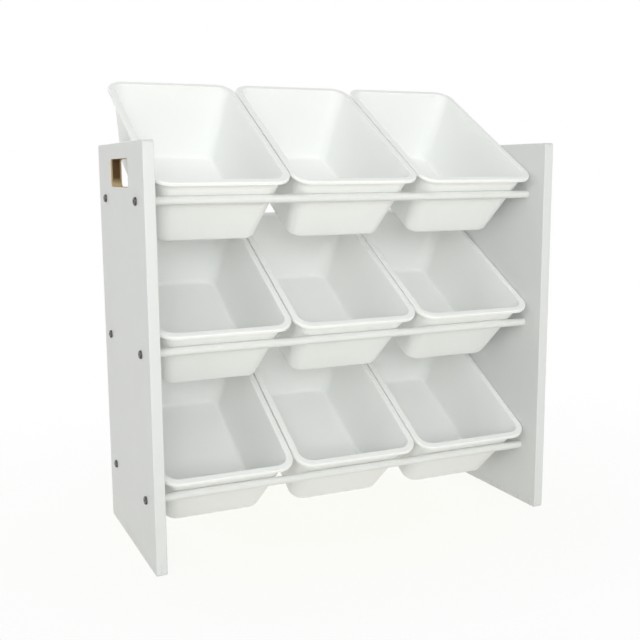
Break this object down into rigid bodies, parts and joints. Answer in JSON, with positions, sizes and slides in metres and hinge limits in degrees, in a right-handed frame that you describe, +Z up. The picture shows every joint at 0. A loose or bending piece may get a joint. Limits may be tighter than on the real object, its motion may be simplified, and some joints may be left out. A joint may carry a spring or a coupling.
{
  "type": "toy storage organizer",
  "caption": "Open toy organizer: upright side boards with hand holes, joined by level rods that carry rows of forward-tilted plastic bins.",
  "frame": {"origin": "on the floor, under the middle of the whole object's box", "axes": "+X to the right along the rods, -Y to the front where the bins open, +Z up"},
  "size_m": [0.666, 0.3248, 0.6992],
  "materials": {
    "panel_board": "smooth satin white paint on MDF",
    "rod_steel": "white powder coat",
    "plug_steel": "turned",
    "bolt_steel": "dark nickel plate",
    "bin_plastic": "moulded, low sheen"
  },
  "bodies": {
    "frame": {"side_panel_left": "panel_board", "side_panel_right": "panel_board", "rod_front_bottom": "rod_steel", "rod_back_bottom": "rod_steel", "rod_front_middle": "rod_steel", "rod_back_middle": "rod_steel", "rod_front_top": "rod_steel", "rod_back_top": "rod_steel", "rod_plugs_left": "plug_steel", "rod_plugs_right": "plug_steel", "bolts_left": "bolt_steel", "bolts_right": "bolt_steel"},
    "bin_bottom_left": {"bin_bottom_left": "bin_plastic"},
    "bin_bottom_centre": {"bin_bottom_centre": "bin_plastic"},
    "bin_bottom_right": {"bin_bottom_right": "bin_plastic"},
    "bin_middle_left": {"bin_middle_left": "bin_plastic"},
    "bin_middle_centre": {"bin_middle_centre": "bin_plastic"},
    "bin_middle_right": {"bin_middle_right": "bin_plastic"},
    "bin_top_left": {"bin_top_left": "bin_plastic"},
    "bin_top_centre": {"bin_top_centre": "bin_plastic"},
    "bin_top_right": {"bin_top_right": "bin_plastic"}
  },
  "joints": [
    {"name": "bin_bottom_left_tip", "type": "hinge", "parent": "frame", "child": "bin_bottom_left", "pos_m": [-0.2092, 0.07063, 0.098], "axis": [-1, 0, 0], "range_deg": [0, 30]},
    {"name": "bin_bottom_centre_tip", "type": "hinge", "parent": "frame", "child": "bin_bottom_centre", "pos_m": [0, 0.07063, 0.098], "axis": [-1, 0, 0], "range_deg": [0, 30]},
    {"name": "bin_bottom_right_tip", "type": "hinge", "parent": "frame", "child": "bin_bottom_right", "pos_m": [0.2092, 0.07063, 0.098], "axis": [-1, 0, 0], "range_deg": [0, 30]},
    {"name": "bin_middle_left_tip", "type": "hinge", "parent": "frame", "child": "bin_middle_left", "pos_m": [-0.2092, 0.07063, 0.30852], "axis": [-1, 0, 0], "range_deg": [0, 30]},
    {"name": "bin_middle_centre_tip", "type": "hinge", "parent": "frame", "child": "bin_middle_centre", "pos_m": [0, 0.07063, 0.30852], "axis": [-1, 0, 0], "range_deg": [0, 30]},
    {"name": "bin_middle_right_tip", "type": "hinge", "parent": "frame", "child": "bin_middle_right", "pos_m": [0.2092, 0.07063, 0.30852], "axis": [-1, 0, 0], "range_deg": [0, 30]},
    {"name": "bin_top_left_lift", "type": "slide", "parent": "frame", "child": "bin_top_left", "axis": [0, 0, 1], "range_m": [0, 0.15]},
    {"name": "bin_top_centre_lift", "type": "slide", "parent": "frame", "child": "bin_top_centre", "axis": [0, 0, 1], "range_m": [0, 0.15]},
    {"name": "bin_top_right_lift", "type": "slide", "parent": "frame", "child": "bin_top_right", "axis": [0, 0, 1], "range_m": [0, 0.15]}
  ]
}
